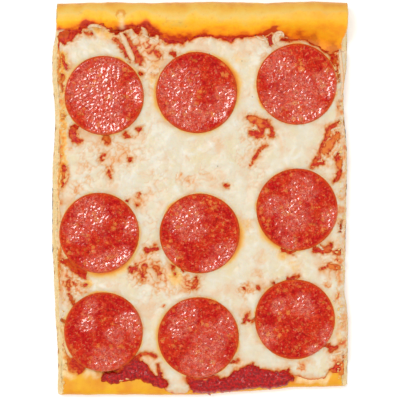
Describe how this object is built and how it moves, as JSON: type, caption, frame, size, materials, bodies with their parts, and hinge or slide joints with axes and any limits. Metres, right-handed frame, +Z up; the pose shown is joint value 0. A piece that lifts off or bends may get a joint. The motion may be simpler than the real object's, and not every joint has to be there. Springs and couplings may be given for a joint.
{
  "type": "pepperoni pizza slice",
  "caption": "Rectangular slice of pan-baked pizza with a raised crust rim along its back edge, tomato sauce, melted mozzarella and round pepperoni slices.",
  "frame": {"origin": "middle of the underside, on the surface that the slice lies on", "axes": "+Z up through the toppings, +Y along the slice towards its raised rim, +X along its width to the right as seen from above with the rim at the top"},
  "size_m": [0.151, 0.2, 0.0201],
  "materials": {
    "baked_dough": "golden baked dough, pale crumb at the cuts",
    "tomato_sauce": "wet, grainy",
    "melted_cheese": "soft satin, slightly oily",
    "pepperoni": "oily, flecked with fat"
  },
  "bodies": {
    "root": {"crust": "baked_dough", "tomato_sauce": "tomato_sauce", "mozzarella": "melted_cheese", "pepperoni_1": "pepperoni", "pepperoni_2": "pepperoni", "pepperoni_3": "pepperoni", "pepperoni_4": "pepperoni", "pepperoni_5": "pepperoni", "pepperoni_6": "pepperoni", "pepperoni_7": "pepperoni", "pepperoni_8": "pepperoni", "pepperoni_9": "pepperoni"}
  },
  "joints": []
}
